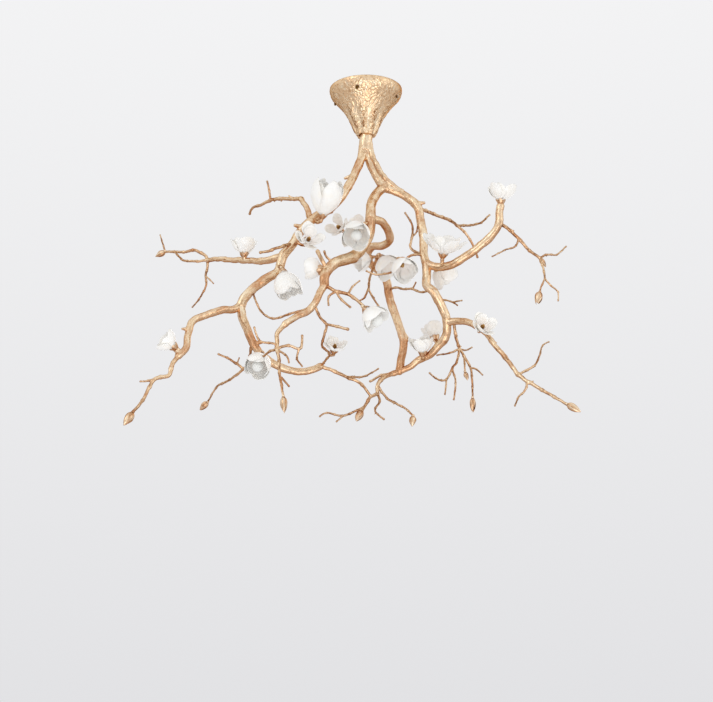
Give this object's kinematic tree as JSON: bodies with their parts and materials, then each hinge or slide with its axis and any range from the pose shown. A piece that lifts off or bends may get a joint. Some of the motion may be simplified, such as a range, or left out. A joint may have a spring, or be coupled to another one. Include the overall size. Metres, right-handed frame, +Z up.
{
  "type": "chandelier",
  "caption": "Ceiling chandelier: a cast brass bough of crossing branches under a bell canopy, with porcelain blossoms that hide small pin lamps.",
  "frame": {"origin": "centre of the ceiling face, midway between the two ceiling holes", "axes": "+Z up into the ceiling; +X along the line of the ceiling holes, towards the side branch that rises to a blossom; -Y towards the viewer of the reference view"},
  "size_m": [0.9612, 0.5272, 0.8428],
  "materials": {
    "cast_canopy": "antique cast brass, lacquered",
    "cast_branch": "antique cast brass, lacquered",
    "cast_bud": "antique cast brass, lacquered",
    "calyx_brass": "satin brass",
    "stamen_brass": "satin brass",
    "turned_brass": "turned brass",
    "screw_brass": "satin brass",
    "zinc_steel": "zinc plated",
    "terminal_plastic": "moulded",
    "driver_plastic": "moulded",
    "lead_rubber": "silicone insulation",
    "holder_ceramic": "unglazed steatite",
    "frosted_lamp": "frosted",
    "porcelain": "gloss glaze"
  },
  "bodies": {
    "fixture": {"canopy": "cast_canopy", "ceiling_bracket": "zinc_steel", "earth_screw": "turned_brass", "terminal_block": "terminal_plastic", "lamp_driver": "driver_plastic", "threaded_tube": "turned_brass", "tube_nuts": "turned_brass", "supply_leads": "lead_rubber", "trunk": "cast_branch", "left_stem": "cast_branch", "left_ring": "cast_branch", "left_arm": "cast_branch", "far_left_branch": "cast_branch", "left_stem_twigs": "cast_branch", "centre_stem": "cast_branch", "front_branch": "cast_branch", "front_spray": "cast_branch", "front_twigs": "cast_branch", "centre_down_stem": "cast_branch", "right_stem": "cast_branch", "right_up_branch": "cast_branch", "right_back_spray": "cast_branch", "right_out_branch": "cast_branch", "right_hanging_spray": "cast_branch", "link_twigs": "cast_branch", "foot_spray": "cast_branch", "cast_buds": "cast_bud", "flower_calyxes": "calyx_brass", "flower_pistils": "stamen_brass", "lamp_holders": "holder_ceramic", "flower_1": "porcelain", "flower_2": "porcelain", "flower_3": "porcelain", "flower_4": "porcelain", "flower_5": "porcelain", "flower_6": "porcelain", "flower_7": "porcelain", "flower_8": "porcelain", "flower_9": "porcelain", "flower_10": "porcelain", "flower_11": "porcelain", "flower_12": "porcelain", "flower_13": "porcelain", "flower_14": "porcelain", "flower_15": "porcelain", "flower_16": "porcelain", "flower_17": "porcelain", "flower_18": "porcelain", "flower_19": "porcelain", "flower_20": "porcelain", "flower_21": "porcelain"},
    "canopy_screw_1": {"canopy_screw_1": "screw_brass"},
    "canopy_screw_2": {"canopy_screw_2": "screw_brass"},
    "canopy_screw_3": {"canopy_screw_3": "screw_brass"},
    "canopy_screw_4": {"canopy_screw_4": "screw_brass"},
    "lamp_1": {"lamp_1": "frosted_lamp"},
    "lamp_2": {"lamp_2": "frosted_lamp"},
    "lamp_3": {"lamp_3": "frosted_lamp"},
    "lamp_4": {"lamp_4": "frosted_lamp"},
    "lamp_5": {"lamp_5": "frosted_lamp"}
  },
  "joints": [
    {"name": "canopy_screw_1_unscrew", "type": "slide", "parent": "fixture", "child": "canopy_screw_1", "axis": [-0.2756, -0.9613, 0], "range_m": [0, 0.006]},
    {"name": "canopy_screw_2_unscrew", "type": "slide", "parent": "fixture", "child": "canopy_screw_2", "axis": [0.9613, -0.2756, 0], "range_m": [0, 0.006]},
    {"name": "canopy_screw_3_unscrew", "type": "slide", "parent": "fixture", "child": "canopy_screw_3", "axis": [0.2756, 0.9613, 0], "range_m": [0, 0.006]},
    {"name": "canopy_screw_4_unscrew", "type": "slide", "parent": "fixture", "child": "canopy_screw_4", "axis": [-0.9613, 0.2756, 0], "range_m": [0, 0.006]},
    {"name": "lamp_1_pull", "type": "slide", "parent": "fixture", "child": "lamp_1", "axis": [0.2197, -0.3795, 0.8987], "range_m": [0, 0.008]},
    {"name": "lamp_2_pull", "type": "slide", "parent": "fixture", "child": "lamp_2", "axis": [0.3035, -0.1517, -0.9407], "range_m": [0, 0.008]},
    {"name": "lamp_3_pull", "type": "slide", "parent": "fixture", "child": "lamp_3", "axis": [0, -0.6247, -0.7809], "range_m": [0, 0.008]},
    {"name": "lamp_4_pull", "type": "slide", "parent": "fixture", "child": "lamp_4", "axis": [0.6222, -0.3011, -0.7226], "range_m": [0, 0.008]},
    {"name": "lamp_5_pull", "type": "slide", "parent": "fixture", "child": "lamp_5", "axis": [-0.1606, -0.6423, -0.7494], "range_m": [0, 0.008]}
  ]
}
